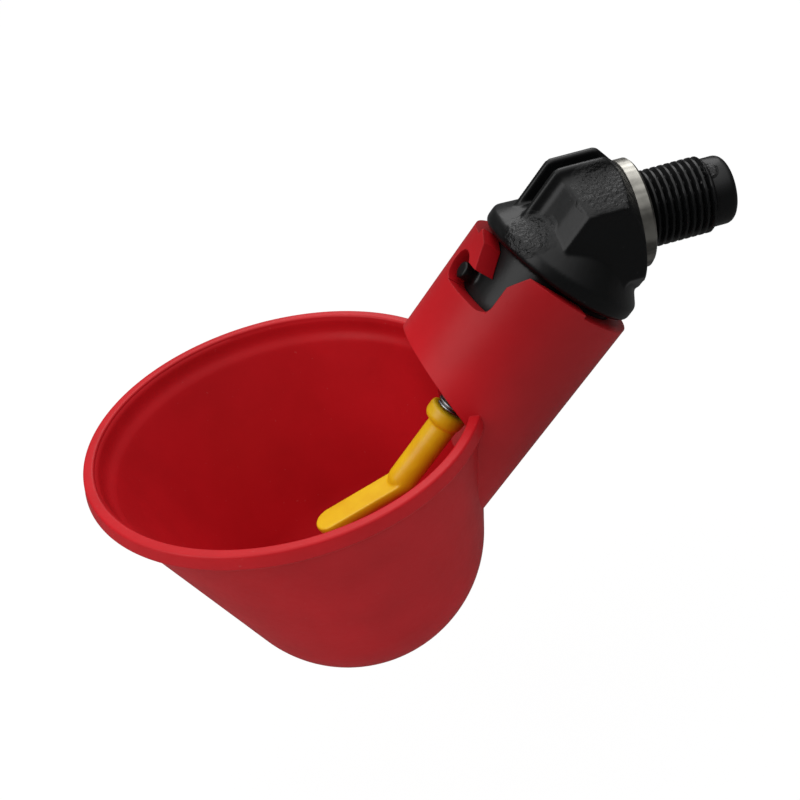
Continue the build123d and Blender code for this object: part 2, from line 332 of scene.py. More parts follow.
class Value:
    """A number socket of a shader, with Python's operators for its maths."""

    def __init__(self, shader: "Shader", socket: bpy.types.NodeSocket) -> None:
        """Wrap an output socket of a shader's node."""
        self.shader = shader
        self.socket = socket

    def _maths(self, operation: str, first: Number, second: Number, clamp: bool = False) -> "Value":
        """Add a Math node on two values.

        Args:
            operation: what the node does.
            first: its first value.
            second: its second value.
            clamp: whether the result is held between 0 and 1.

        Returns:
            The result.
        """
        settings = {"operation": operation, "use_clamp": clamp}
        return self.shader.value("ShaderNodeMath", settings, {0: first, 1: second})

    def __add__(self, other: Number) -> "Value":
        """Add."""
        return self._maths("ADD", self, other)

    def __sub__(self, other: Number) -> "Value":
        """Subtract."""
        return self._maths("SUBTRACT", self, other)

    def __rsub__(self, other: Number) -> "Value":
        """Subtract this from a number."""
        return self._maths("SUBTRACT", other, self)

    def __mul__(self, other: Number) -> "Value":
        """Multiply."""
        return self._maths("MULTIPLY", self, other)

    __radd__ = __add__
    __rmul__ = __mul__

    def ramp(self, low: float, high: float) -> "Value":
        """Go from 0 at low to 1 at high, held at both ends."""
        return self._maths("MULTIPLY", self - low, 1.0 / (high - low), clamp=True)


Link = Union[float, Sequence[float], Value, bpy.types.NodeSocket]


def rgba(colour: Sequence[float], share: float = 1.0) -> tuple:
    """Take a share of a colour, at full opacity."""
    return (*(share * part for part in colour), 1.0)


class Shader:
    """The nodes of one material or of the world, built by method calls."""

    edge_samples: int = 6

    def __init__(self, owner: Union[bpy.types.Material, bpy.types.World]) -> None:
        """Start without any nodes.

        Args:
            owner: the material or the world that holds them.
        """
        owner.use_nodes = True
        owner.node_tree.nodes.clear()
        self.owner = owner
        self.tree = owner.node_tree

    def node(
        self,
        kind: str,
        settings: Optional[dict] = None,
        links: Optional[dict] = None,
    ) -> bpy.types.Node:
        """Add a node.

        Args:
            kind: the node's type.
            settings: attributes, set before its sockets are used; stops fill a colour ramp.
            links: value, wrapped value or socket for each input, by name or number.

        Returns:
            The node.
        """
        node = self.tree.nodes.new(kind)
        for key, value in (settings or {}).items():
            if key == "stops":
                self._fill_ramp(node, value)
            else:
                setattr(node, key, value)
        for key, value in (links or {}).items():
            source = value.socket if isinstance(value, Value) else value
            if isinstance(source, bpy.types.NodeSocket):
                self.tree.links.new(source, node.inputs[key])
            else:
                node.inputs[key].default_value = source
        return node

    @staticmethod
    def _fill_ramp(node: bpy.types.Node, stops: Sequence[tuple]) -> None:
        """Give a colour ramp its stops.

        Args:
            node: the ramp.
            stops: a position and a colour for each stop, in rising order.
        """
        elements = node.color_ramp.elements
        while len(elements) < len(stops):
            elements.new(0.5)
        for element, (position, colour) in zip(elements, stops):
            element.position = position
            element.color = rgba(colour)

    def value(self, kind: str, settings: Optional[dict] = None, links: Optional[dict] = None) -> Value:
        """Add a node and wrap its first output as a value."""
        return Value(self, self.node(kind, settings, links).outputs[0])

    def place(self) -> bpy.types.NodeSocket:
        """Object coordinates, in metres of the part's frame."""
        return self.node("ShaderNodeTexCoord").outputs["Object"]

    def noise(
        self, size: float, detail: float = 2.0, place: Optional[bpy.types.NodeSocket] = None
    ) -> Value:
        """Noise from 0 to 1.

        Args:
            size: size of its features in millimetres.
            detail: octaves of finer noise.
            place: coordinates, or None for Object coordinates.

        Returns:
            The noise as a value.
        """
        source = place or self.place()
        links = {"Vector": source, "Scale": 1.0 / (size * MM), "Detail": detail}
        return self.value("ShaderNodeTexNoise", {}, links)

    def blend(self, share: Number, low: Link, high: Link) -> bpy.types.NodeSocket:
        """Mix two colours, by how much of the second is wanted."""
        links = {"Factor": share, 6: low, 7: high}
        return self.node("ShaderNodeMix", {"data_type": "RGBA"}, links).outputs[2]

    def layer(self, share: Link, low: Link, high: Link) -> bpy.types.NodeSocket:
        """Mix two surfaces, by how much of the second is wanted."""
        return self.node("ShaderNodeMixShader", {}, {0: share, 1: low, 2: high}).outputs[0]

    def near(self, centre: Sequence[float], radius: float, edge: float) -> Value:
        """One inside a ball and zero outside it.

        Args:
            centre: the ball's centre in millimetres.
            radius: its radius in millimetres.
            edge: width of the soft edge in millimetres.

        Returns:
            The mask.
        """
        distance = self.node(
            "ShaderNodeVectorMath",
            {"operation": "DISTANCE"},
            {0: self.place(), 1: tuple(np.multiply(centre, MM))},
        ).outputs["Value"]
        return 1 - Value(self, distance).ramp((radius - edge) * MM, (radius + edge) * MM)

    def relief(self, height: Number, depth: float, edge_round: float = 0.0) -> bpy.types.NodeSocket:
        """Turn a height into a bumped normal.

        Args:
            height: height from 0 to 1.
            depth: what a height of 1 stands for, in millimetres.
            edge_round: radius in millimetres by which edges look rounded.

        Returns:
            The normal.
        """
        links: dict = {"Height": height, "Distance": depth * MM, "Strength": 1.0}
        if edge_round:
            settings = {"samples": self.edge_samples}
            rounded = self.node("ShaderNodeBevel", settings, {"Radius": edge_round * MM})
            links["Normal"] = rounded.outputs[0]
        return self.node("ShaderNodeBump", {}, links).outputs[0]

    def finish(self, **links: Link) -> bpy.types.Material:
        """Close the material with one Principled shader.

        Args:
            links: values of its sockets, by name, with _ for a space.

        Returns:
            The material.
        """
        named = {key.replace("_", " "): value for key, value in links.items()}
        surface = self.node("ShaderNodeBsdfPrincipled", {}, named).outputs[0]
        self.node("ShaderNodeOutputMaterial", {"is_active_output": True}, {"Surface": surface})
        return self.owner


@dataclass(frozen=True)
class MouldedPlastic:
    """A moulded plastic: a faint cloudiness in its colour, a soft skin and small flecks.

    Sizes, depths and the two distances along X between which a painted shade darkens the colour,
    standing in for the shade on the leaning tube, are in millimetres. Each pair of edges is where a
    noise starts to show and shows fully.
    """

    name: str
    colour: tuple
    shade: tuple
    roughness: float
    roughness_swing: float = 0.1
    sheen: float = 0.5
    cloud_size: float = 9.0
    cloud_edges: tuple = (0.35, 0.65)
    skin_size: float = 0.9
    skin_depth: float = 0.015
    edge_round: float = 0.15
    fleck: float = 0.0
    fleck_size: float = 0.55
    fleck_edges: tuple = (0.76, 0.8)
    fleck_colour: tuple = (0.6, 0.55, 0.5)
    # Painted shade: the span along X over which the colour darkens, and the share of the colour left.
    painted_shade_span: tuple = ()
    painted_shade_share: float = 0.68

    def material(self) -> bpy.types.Material:
        """Build the material.

        Returns:
            The material.
        """
        shader = Shader(bpy.data.materials.new(self.name))
        cloud = shader.noise(self.cloud_size, detail=3.0).ramp(*self.cloud_edges)
        colour = shader.blend(cloud, rgba(self.shade), rgba(self.colour))
        if self.fleck:
            speck = shader.noise(self.fleck_size, detail=1.0).ramp(*self.fleck_edges) * self.fleck
            colour = shader.blend(speck, colour, rgba(self.fleck_colour))
        # Painted shade: past a distance along X the colour darkens, standing in for the shade on the
        # leaning tube.
        if self.painted_shade_span:
            start, end = self.painted_shade_span
            along = shader.value("ShaderNodeSeparateXYZ", {}, {0: shader.place()})
            shaded_tones = [rgba(tone, self.painted_shade_share) for tone in (self.shade, self.colour)]
            colour = shader.blend(along.ramp(start * MM, end * MM), colour, shader.blend(cloud, *shaded_tones))
        skin = shader.noise(self.skin_size, detail=3.0)
        return shader.finish(
            Base_Color=colour,
            Roughness=skin * self.roughness_swing + (self.roughness - self.roughness_swing / 2),
            Normal=shader.relief(skin, self.skin_depth, self.edge_round),
            Specular_IOR_Level=self.sheen,
        )


@dataclass(frozen=True)
class PittedPlastic:
    """A glossy plastic with ragged patches where its skin is pitted, and dust on the rest.

    Each patch is a place and a radius. Sizes and depths are in millimetres, and each pair of edges
    is where a noise starts to show and shows fully.
    """

    name: str
    colour: tuple
    roughness: float
    patches: tuple
    sheen: float = 0.27
    patch_edge: float = 0.6
    patch_gain: float = 1.6
    ragged_size: float = 2.2
    ragged_gain: float = 0.9
    ragged_edges: tuple = (0.1, 0.55)
    pit_size: float = 0.55
    pit_depth: float = 0.3
    pit_gloss: float = 0.15
    skin_size: float = 1.6
    skin_depth: float = 0.03
    dust_size: float = 0.5
    dust_edges: tuple = (0.77, 0.81)
    dust_share: float = 0.35
    dust_colour: tuple = (0.16, 0.16, 0.16)

    def material(self) -> bpy.types.Material:
        """Build the material.

        Two patches a and b join as a + b - a b, which stays at 1 or less where they meet.

        Returns:
            The material.
        """
        shader = Shader(bpy.data.materials.new(self.name))
        masks = [shader.near(place, size, size * self.patch_edge) for place, size in self.patches]
        mask = reduce(lambda one, other: one + other - one * other, masks)
        ragged = shader.noise(self.ragged_size, detail=3.0) * self.ragged_gain
        broken = (mask * self.patch_gain - ragged).ramp(*self.ragged_edges)
        pits = shader.noise(self.pit_size, detail=4.0) * broken * self.pit_depth
        skin = shader.noise(self.skin_size, detail=3.0) * self.skin_depth
        dust = shader.noise(self.dust_size, detail=1.0).ramp(*self.dust_edges) * self.dust_share
        return shader.finish(
            Base_Color=shader.blend(dust * (1 - broken), rgba(self.colour), rgba(self.dust_colour)),
            Roughness=self.roughness - broken * self.pit_gloss,
            Normal=shader.relief(pits + skin, depth=1.0),
            Specular_IOR_Level=self.sheen,
        )


@dataclass(frozen=True)
class TurnedSteel:
    """Bare steel, turned about X: fine marks run round it, and a painted reflection lies in light and
    dark streaks outwards.

    Sizes and depths are in millimetres, apart from the size of the reflection streaks, which is a share
    of the radius.
    """

    name: str
    colour: tuple
    roughness: float
    roughness_swing: float = 0.15
    mark_size: float = 0.12
    mark_depth: float = 0.004
    edge_round: float = 0.08
    # Size and edges of the painted reflection streaks.
    reflection_band_size: float = 0.3
    reflection_band_edges: tuple = (0.38, 0.62)
    stain_size: float = 1.4
    stain_edges: tuple = (0.3, 0.7)
    stain_share: float = 0.25
    dark_share: float = 0.22

    def material(self) -> bpy.types.Material:
        """Build the material.

        The marks are noise over the distance along X and the radius. The painted reflection is noise over
        the direction away from X alone, so its light and dark streaks fan out round the axis; a stain is
        mixed into it.

        Returns:
            The material.
        """
        shader = Shader(bpy.data.materials.new(self.name))
        x, y, z = shader.node("ShaderNodeSeparateXYZ", {}, {0: shader.place()}).outputs
        away = shader.node("ShaderNodeCombineXYZ", {}, {1: y, 2: z}).outputs[0]
        radius = shader.node("ShaderNodeVectorMath", {"operation": "LENGTH"}, {0: away}).outputs["Value"]
        side = shader.node("ShaderNodeVectorMath", {"operation": "NORMALIZE"}, {0: away}).outputs[0]
        along = shader.node("ShaderNodeCombineXYZ", {}, {0: x, 1: radius}).outputs[0]
        marks = shader.noise(self.mark_size, place=along)
        painted_reflection = shader.noise(self.reflection_band_size / MM, place=side).ramp(*self.reflection_band_edges)
        stain = shader.noise(self.stain_size, detail=3.0).ramp(*self.stain_edges)
        # Painted reflection: light and dark streaks, mixed with a real stain, set how dark the colour is.
        light = painted_reflection * (1 - self.stain_share) + stain * self.stain_share
        return shader.finish(
            Base_Color=shader.blend(light, rgba(self.colour, self.dark_share), rgba(self.colour)),
            Metallic=1.0,
            Roughness=marks * self.roughness_swing + self.roughness,
            Normal=shader.relief(marks, self.mark_depth, self.edge_round),
        )


class Finish(Enum):
    """The finishes of the object's pieces."""

    RED = MouldedPlastic(
        "red_plastic",
        colour=(0.50, 0.0075, 0.013),
        shade=(0.45, 0.0065, 0.011),
        # Painted shade darkens the red from X -31 mm to -20 mm, along the tube.
        painted_shade_span=(-31.0, -20.0),
        roughness=0.42,
        fleck=0.05,
        sheen=0.2,
    )
    YELLOW = MouldedPlastic(
        "yellow_plastic",
        colour=(0.78, 0.49, 0.008),
        shade=(0.72, 0.40, 0.005),
        roughness=0.34,
        cloud_size=4.0,
        skin_size=0.5,
        edge_round=0.0,
        sheen=0.4,
    )
    BLACK = PittedPlastic(
        "black_plastic",
        colour=(0.0028, 0.003, 0.0032),
        roughness=0.33,
        patches=(((-5.2, -4.8, 6.6), 3.6), ((-15.2, -4.6, 3.2), 2.9), ((8.9, -1.8, 3.9), 1.1)),
    )
    # Both steels carry painted reflection streaks in their colour.
    RING_STEEL = TurnedSteel("ring_steel", colour=(0.50, 0.485, 0.44), roughness=0.24)
    WIRE_STEEL = TurnedSteel("wire_steel", colour=(0.36, 0.37, 0.38), roughness=0.2)
    RUBBER = MouldedPlastic(
        "seat_rubber", colour=(0.02, 0.02, 0.02), shade=(0.014, 0.014, 0.014), roughness=0.6
    )
    BUSH = MouldedPlastic(
        "bush_plastic", colour=(0.62, 0.61, 0.58), shade=(0.58, 0.57, 0.54), roughness=0.45
    )

    def dress(self, piece: bpy.types.Object) -> None:
        """Give a piece this finish alone."""
        piece.data.materials.clear()
        piece.data.materials.append(material_of(self))


@cache
def material_of(finish: Finish) -> bpy.types.Material:
    """Build a finish's material once and give the same one each time."""
    return finish.value.material()


@dataclass
class Cup:
    """The red moulding: a bowl drawn from a round rim down to a ball, and the leaning tube.

    Heights of the bowl count from its rim and those of the tube from its top. The drawn wall's
    rim lies inside the lip's by wall_inset, and the bead stands in from the hollow's wall. The
    slot's sizes are on its outline square on, across from the pin's middle and up. hollow_margin
    and hook_start keep the cores' faces and corners out of planes that the cup has too.
    """

    layout: Layout
    ball_centre: Array = field(default_factory=lambda: np.array([4.6, 0.0, -20.9]))
    ball_radius: float = 18.7
    wall: float = 1.35
    wall_inset: float = 0.5
    lip_width: float = 1.45
    lip_height: float = 2.0
    lip_round: float = 0.35
    lip_slant: float = 7.0
    bead: float = 0.25
    bead_depth: float = 2.3
    bead_rows: int = 8
    ledge_depth: float = 3.1
    ledge_step: float = 0.3
    ledge_soft: float = 0.75
    ledge_rows: int = 7
    steps: int = 224
    tube_radius: float = 11.55
    tube_length: float = 33.0
    tube_round: float = 0.3
    tube_rows: int = 24
    tube_steps: int = 192
    bore_radius: float = 9.0
    bore_overrun: float = 1.0
    bore_rows: int = 26
    hollow_margin: float = 0.002
    mouth_setback: float = 21.1
    mouth_tilt: float = 25.0
    slot_over: float = 1.0
    slot_width: float = 7.8
    slot_floor: float = 7.6
    slot_corner: float = 1.6
    hook_side: float = -0.5
    hook_start: float = 0.03
    hook_shoulder: tuple = (1.9, -1.0)
    hook_tip: tuple = (3.45, -4.1)
    pocket_centre: tuple = (0.0, -5.4)
    pocket_radius: float = 2.1
    pocket_angles: tuple = (38.25, 270.0)
    flare_start: float = -3.0
    flare_out: float = 1.73
    rim_steps: tuple = ((50.0, 93.0, 0.35), (92.0, 178.0, 0.8))

    def tangents(self, rim_radius: float, ball_radius: float) -> tuple:
        """Find where lines from the rim's front and back points touch the ball.

        Each lies at the ball's centre plus its radius in the direction that makes a right angle
        with the line to the rim point.

        Args:
            rim_radius: radius of the wall at the rim.
            ball_radius: radius of the ball.

        Returns:
            The front point and the back point.
        """
        drop = -self.ball_centre[2]
        found = []
        for side in (-1.0, 1.0):
            across = side * rim_radius - self.ball_centre[0]
            distance = np.hypot(across, drop)
            angle = np.arctan2(drop, abs(across)) - np.arccos(ball_radius / distance)
            direction = np.array([side * np.cos(angle), 0.0, np.sin(angle)])
            found.append(self.ball_centre + ball_radius * direction)
        return tuple(found)

    def band(self, front: Array, back: Array) -> Array:
        """Circle on the ball through its two tangent points: middle plus radius round the joint.

        Args:
            front: the front point.
            back: the back point.

        Returns:
            The circle's points.
        """
        middle = (front + back) / 2
        radius = (back - front) / 2
        angle = round_angles(self.steps)[:, None]
        side = np.array([0.0, np.linalg.norm(radius), 0.0])
        return middle + np.cos(angle) * radius + np.sin(angle) * side

    def drawn(self, rim_radius: float, ball_radius: float, top: float, rows: int = 40) -> Array:
        """Rows of the drawn wall from a height down to the ball's lowest point.

        The wall is straight from each rim point to the band's point at the same angle, so a point
        is the rim point plus a share of the way to the band. Below the band the rows close over
        the ball by turning each band point towards the pole.

        Args:
            rim_radius: radius of the wall at the rim.
            ball_radius: radius of the ball.
            top: height at which the rows start.
            rows: rows on the straight wall and again on the ball.

        Returns:
            Points, shaped rows by steps by 3.
        """
        front, back = self.tangents(rim_radius, ball_radius)
        rim = circle(rim_radius, 0.0, self.steps)[0]
        band = self.band(front, back)
        first = (top / band[:, 2])[None, :, None]
        share = first + (1 - first) * np.linspace(0.0, 1.0, rows)[:, None, None]
        straight = rim + share * (band - rim)
        joint = unit(np.cross(back - front, [0.0, 1.0, 0.0]))
        pole = -joint if joint[2] > 0 else joint
        start = unit(band[0] - self.ball_centre)
        reach = np.arccos(np.clip(start @ pole, -1.0, 1.0))
        spoke = band - self.ball_centre
        out = spoke - (spoke @ pole)[:, None] * pole
        out /= np.linalg.norm(out, axis=1, keepdims=True)
        angle = reach * np.linspace(1.0, 0.0, rows + 1)[1:, None, None]
        ball = self.ball_centre + ball_radius * (np.sin(angle) * out + np.cos(angle) * pole)
        return np.concatenate([straight, ball])

    def bowl(self) -> bpy.types.Object:
        """Closed outside of the bowl: from its bottom up, over the lip's outer edge and flat across.

        Returns:
            The outside.
        """
        drawn = self.drawn(self.layout.rim_radius - self.wall_inset, self.ball_radius, -self.lip_height)
        outer = self.layout.rim_radius
        top = outer - np.tan(np.radians(self.lip_slant)) * self.lip_height
        r = self.lip_round
        lip = np.concatenate(
            [
                arc((outer - r, -self.lip_height + r), r, -90, self.lip_slant),
                arc((top - r, -r), r, self.lip_slant, 90),
                [(0.0, 0.0)],
            ]
        )
        rows = np.concatenate([drawn[::-1], lathe(lip, self.steps)])
        return grid_mesh("red_cup", self.layout.on_rim(rows))

    @staticmethod
    def level(rows: Array, heights: Array) -> Array:
        """Find rows at given heights on a drawn wall, by going along its straight lines.

        Args:
            rows: the wall's rows.
            heights: height of each new row.

        Returns:
            Points, shaped heights by steps by 3.
        """
        top, bottom = rows[0], rows[1]
        share = (heights[:, None] - top[:, 2]) / (bottom[:, 2] - top[:, 2])
        return top + share[..., None] * (bottom - top)

    def clearance(self) -> bpy.types.Object:
        """Closed volume of the bowl's hollow and the space above it, without the tube behind its mouth.

        By smooth steps, the lip's bead fades into the wall under it, and that wall into the
        narrower one below the ledge.

        Returns:
            The volume.
        """
        r = self.lip_round
        rim = self.layout.rim_radius - self.lip_width
        ball = self.ball_radius - self.wall
        ledge_end = -self.ledge_depth - self.ledge_soft
        upper = self.drawn(rim, ball + self.ledge_step, -r)
        lower = self.drawn(rim - self.ledge_step, ball, ledge_end)
        edge = rim - self.bead + r
        above = lathe([(edge, 2 * self.tube_length), (edge, self.hollow_margin)], self.steps)
        lip = lathe(arc((edge, -r), r, 100, 180), self.steps)
        sunk = np.linspace(0.0, 1.0, self.bead_rows)[1:-1]
        bead = self.bead * (1 - smooth_step(sunk))[:, None, None]
        outward = circle(1.0, 0.0, self.steps)[0]
        under_lip = self.level(upper, -r - (self.bead_depth - r) * sunk) - outward * bead
        sunk = np.linspace(0.0, 1.0, self.ledge_rows)[:-1]
        heights = ledge_end + 2 * self.ledge_soft * (1 - sunk)
        share = smooth_step(sunk)[:, None, None]
        ledge = self.level(upper, heights) * (1 - share) + self.level(lower, heights) * share
        rows = np.concatenate([above, lip, under_lip, ledge, lower])
        space = grid_mesh("clearance", self.layout.on_rim(rows))
        tube = combine(self.tube(self.hollow_margin), self.mouth_block(), Cut.REMOVE)
        return combine(space, tube, Cut.REMOVE)

    def mouth_block(self) -> bpy.types.Object:
        """Closed block in front of the tube's tilted mouth.

        Returns:
            The block.
        """
        tilt = np.radians(self.mouth_tilt)
        along = np.array([-np.sin(tilt), 0.0, np.cos(tilt)])
        ahead = np.array([-np.cos(tilt), 0.0, -np.sin(tilt)])
        side = np.array([0.0, 1.0, 0.0])
        corner = np.array([self.mouth_setback, 0.0, 0.0])
        size = 3 * self.tube_length
        reach = size * SQUARE
        near = corner + reach[:, :1] * side + reach[:, 1:] * along
        return grid_mesh("mouth_block", self.layout.on_rim(np.stack([near, near + size * ahead])))

    def cylinder(self, name: str, top: Sequence, radius: float, heights: Array) -> bpy.types.Object:
        """Close a cylinder about the tube's axis.

        Args:
            name: the object's name.
            top: radius and height pairs that close its top.
            radius: its radius.
            heights: heights of the rows of its wall, the last one at its end.

        Returns:
            The cylinder.
        """
        wall = np.column_stack([np.full(len(heights), radius), heights])
        rows = lathe(np.concatenate([top, wall, [(0.0, heights[-1])]]), self.tube_steps)
        return grid_mesh(name, self.layout.on_tube(rows))

    def tube(self, margin: float = 0.0) -> bpy.types.Object:
        """Closed leaning tube with a rounded top edge.

        Args:
            margin: how much thicker it is all over.

        Returns:
            The tube.
        """
        r = self.tube_round
        radius = self.tube_radius + margin
        top = [(0.0, margin), *arc((radius - r, margin - r), r, 90, 0)]
        heights = np.linspace(-r, -self.tube_length, self.tube_rows)[1:]
        return self.cylinder("tube", top, radius, heights)

    def bore(self) -> bpy.types.Object:
        """Closed core of the tube's bore.

        Returns:
            The core.
        """
        over = self.bore_overrun
        heights = np.linspace(over, -self.tube_length - over, self.bore_rows)
        return self.cylinder("bore", [(0.0, over)], self.bore_radius, heights)

    def slot_outline(self) -> Array:
        """Outline of a bayonet slot square on: lead-in, hook, pocket, floor and flare.

        Returns:
            Points as across and up pairs.
        """
        floor = -self.slot_floor
        corner = (self.slot_width - self.slot_corner, floor + self.slot_corner)
        return np.concatenate(
            [
                [(self.hook_side, self.slot_over), (self.hook_side, self.hook_start)],
                [self.hook_shoulder, self.hook_tip],
                arc(self.pocket_centre, self.pocket_radius, *self.pocket_angles, count=28),
                [(0.0, floor)],
                arc(corner, self.slot_corner, -90, 0),
                [(self.slot_width, self.flare_start), (self.slot_width + self.flare_out, self.slot_over)],
            ]
        )

    def slot(self, side: float) -> bpy.types.Object:
        """Closed core of one bayonet slot.

        Args:
            side: 1 for the front slot and -1 for the back one.

        Returns:
            The core.
        """
        across, up = self.slot_outline().T
        rows = [
            np.column_stack([np.full(len(up), reach), side * across, up])
            for reach in (0.0, 2 * side * self.tube_radius)
        ]
        return grid_mesh("slot_core", self.layout.on_tube(np.stack(rows)))

    def rim_step(self, start: float, end: float, depth: float) -> bpy.types.Object:
        """Closed wedge that lowers the tube's top edge between two angles.

        Args:
            start: first angle in degrees, from the tube's front.
            end: last angle in degrees.
            depth: how far the edge is lowered.

        Returns:
            The wedge.
        """
        edge = arc((0.0, 0.0), 2 * self.tube_radius, start, end, count=24)
        outline = np.concatenate([[(0.0, 0.0)], edge])
        rows = [np.column_stack([outline, np.full(len(outline), height)]) for height in (depth, -depth)]
        return grid_mesh("rim_step", self.layout.on_tube(np.stack(rows)))

    def build(self) -> bpy.types.Object:
        """Join the bowl and the tube, hollow them, cut the slots and the steps, and dress them.

        Returns:
            The cup.
        """
        cup = combine(self.bowl(), self.tube(), Cut.JOIN)
        combine(cup, self.clearance(), Cut.REMOVE)
        combine(cup, self.bore(), Cut.REMOVE)
        for side in (1.0, -1.0):
            combine(cup, self.slot(side), Cut.REMOVE)
        for turn in (0.0, 180.0):
            for start, end, depth in self.rim_steps:
                combine(cup, self.rim_step(start + turn, end + turn, depth), Cut.REMOVE)
        Finish.RED.dress(cup)
        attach(cup, "cup")
        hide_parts("cup")
        return cup


@dataclass
class ElbowValve:
    """The black moulding: ribbed elbow, domed collar, stub and bayonet pins, without its spigot."""

    layout: Layout
    voxel: float = 0.24
    smoothing: int = 4
    reach: float = 60.0

    def build(self) -> bpy.types.Object:
        """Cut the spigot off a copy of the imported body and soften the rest.

        Returns:
            The moulding.
        """
        moulding = cad_copy("valve_body", "elbow_moulding")
        back = self.layout.ring_back
        ends = [
            np.column_stack([np.full(len(SQUARE), x), self.reach * SQUARE])
            for x in (back, back + self.reach)
        ]
        combine(moulding, grid_mesh("ahead_of_ring", np.stack(ends)), Cut.REMOVE)
        soften(moulding, self.voxel, self.smoothing)
        Finish.BLACK.dress(moulding)
        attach(moulding, "valve")
        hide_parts("valve_body")
        return moulding


@dataclass
class Spigot:
    """The threaded spigot with its plain pilot, open at the end."""

    layout: Layout
    major_radius: float = 4.864
    thread_depth: float = 0.58
    crest_cut: float = 1.45
    pitch: float = 0.907
    turns: int = 10
    fade_turns: float = 0.6
    rows_a_turn: int = 16
    steps: int = 144
    pilot_radius: float = 4.35
    pilot_length: float = 2.7
    pilot_round: float = 1.0
    bore_radius: float = 2.2
    bore_bevel: tuple = (0.15, 0.2)
    relief_radius: float = 4.3
    overlap: float = 0.5
    seam: float = 0.02
    sharp_angle: float = 40.0

    @staticmethod
    def turned(along: Array, radius: Array, turn: Array) -> Array:
        """Set radii about X: y is the radius times the turn's sine, and z times its cosine."""
        along, radius, turn = np.broadcast_arrays(along, radius, turn)
        return np.stack([along, radius * np.sin(turn), radius * np.cos(turn)], axis=-1)

    def build(self) -> bpy.types.Object:
        """Make the spigot.

        Over the thread the radius is the floor plus the thread's depth times a triangle wave of
        the phase, cut flat at its crest. The phase is the distance in pitches less the angle in
        turns, so the ridge climbs one pitch a turn. It fades out at both ends.

        Returns:
            The spigot.
        """
        length = self.pitch * self.turns
        along = np.arange(0.0, length, self.pitch / self.rows_a_turn)
        angle = np.linspace(0.0, 1.0, self.steps, endpoint=False)
        wave = 1 - np.abs(2 * ((along[:, None] / self.pitch - angle) % 1.0) - 1)
        fade = np.clip(np.minimum(along, length - along) / (self.fade_turns * self.pitch), 0.0, 1.0)
        floor = self.major_radius - self.thread_depth
        radius = floor + self.thread_depth * np.minimum(wave * self.crest_cut, 1.0) * fade[:, None]
        root_start = self.layout.ring_back - self.overlap
        root = np.array(
            [
                (self.bore_radius, root_start),
                (self.relief_radius, root_start),
                (self.relief_radius, -self.seam),
            ]
        )
        end = length + self.pilot_length
        r = self.pilot_round
        widen, deepen = self.bore_bevel
        tip = np.concatenate(
            [
                [(self.pilot_radius, length + self.seam)],
                arc((self.pilot_radius - r, end - r), r, 0, 90),
                [(self.bore_radius + widen, end), (self.bore_radius, end - deepen)],
            ]
        )
        turn = 2 * np.pi * angle
        thread = self.turned(along[:, None], radius, turn)
        ends = [self.turned(profile[:, 1:], profile[:, :1], turn) for profile in (root, tip)]
        rows = np.concatenate([ends[0], thread, ends[1]])
        spigot = settle(grid_mesh("threaded_spigot", rows, looped=True), self.sharp_angle)
        Finish.BLACK.dress(spigot)
        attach(spigot, "valve")
        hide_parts("valve_body")
        return spigot


@dataclass
class SteelRing:
    """The turned steel ring behind the thread."""

    layout: Layout
    bore_radius: float = 4.96
    outer_bevel: float = 0.3
    back_bevel: float = 0.1
    steps: int = 160

    def build(self) -> bpy.types.Object:
        """Turn the ring's section about X.

        Returns:
            The ring.
        """
        outer = self.layout.ring_radius
        back = self.layout.ring_back
        profile = [
            (self.bore_radius, back),
            (outer - self.back_bevel, back),
            (outer, back + self.back_bevel),
            (outer, -self.outer_bevel),
            (outer - self.outer_bevel, 0.0),
            (self.bore_radius, 0.0),
        ]
        turned = np.roll(lathe(profile, self.steps), 1, axis=-1)
        ring = settle(grid_mesh("steel_ring", turned, looped=True))
        Finish.RING_STEEL.dress(ring)
        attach(ring, "valve")
        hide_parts("thread_ring")
        return ring


@dataclass
class Trigger:
    """The yellow trigger: a headed rod that bends forward into a flat-topped tongue."""

    voxel: float = 0.15
    smoothing: int = 9

    def build(self) -> bpy.types.Object:
        """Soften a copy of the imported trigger, whose edges are moulded round.

        Returns:
            The trigger.
        """
        trigger = soften(cad_copy("trigger", "yellow_trigger"), self.voxel, self.smoothing)
        Finish.YELLOW.dress(trigger)
        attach(trigger, "trigger")
        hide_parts("trigger")
        return trigger


@dataclass
class ReturnSpring:
    """The steel wire spring between the trigger's head and the retaining bush."""

    layout: Layout
    outer_radius: float = 2.25
    wire_radius: float = 0.23
    bottom: float = -23.05
    top: float = -8.5
    closed_turns: float = 2.0
    open_turns: float = 9.0
    rows_a_turn: int = 40
    wire_steps: int = 14
    sharp_angle: float = 60.0

    def build(self) -> bpy.types.Object:
        """Carry the wire along a helix whose ends are wound close.

        The height rises by one wire a turn over the closed turns at each end and evenly between
        them.

        Returns:
            The spring.
        """
        turns = 2 * self.closed_turns + self.open_turns
        turned = np.linspace(0.0, turns, int(turns * self.rows_a_turn))
        low = self.bottom + self.wire_radius
        high = self.top - self.wire_radius
        rise = self.closed_turns * 2 * self.wire_radius
        marks = [0.0, self.closed_turns, turns - self.closed_turns, turns]
        height = np.interp(turned, marks, [low, low + rise, high - rise, high])
        angle = 2 * np.pi * turned
        out = np.column_stack([np.cos(angle), np.sin(angle), np.zeros_like(angle)])
        path = (self.outer_radius - self.wire_radius) * out
        path[:, 2] = height
        rows = tube_along(path, out, self.wire_radius, self.wire_steps)
        spring = settle(grid_mesh("return_spring", self.layout.on_tube(rows)), self.sharp_angle)
        Finish.WIRE_STEEL.dress(spring)
        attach(spring, "trigger")
        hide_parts("trigger_spring")
        return spring


@dataclass(frozen=True)
class Lamp:
    """A square soft lamp: its name, its place and side in metres, and its power in watts."""

    name: str
    place: tuple
    size: float
    power: float


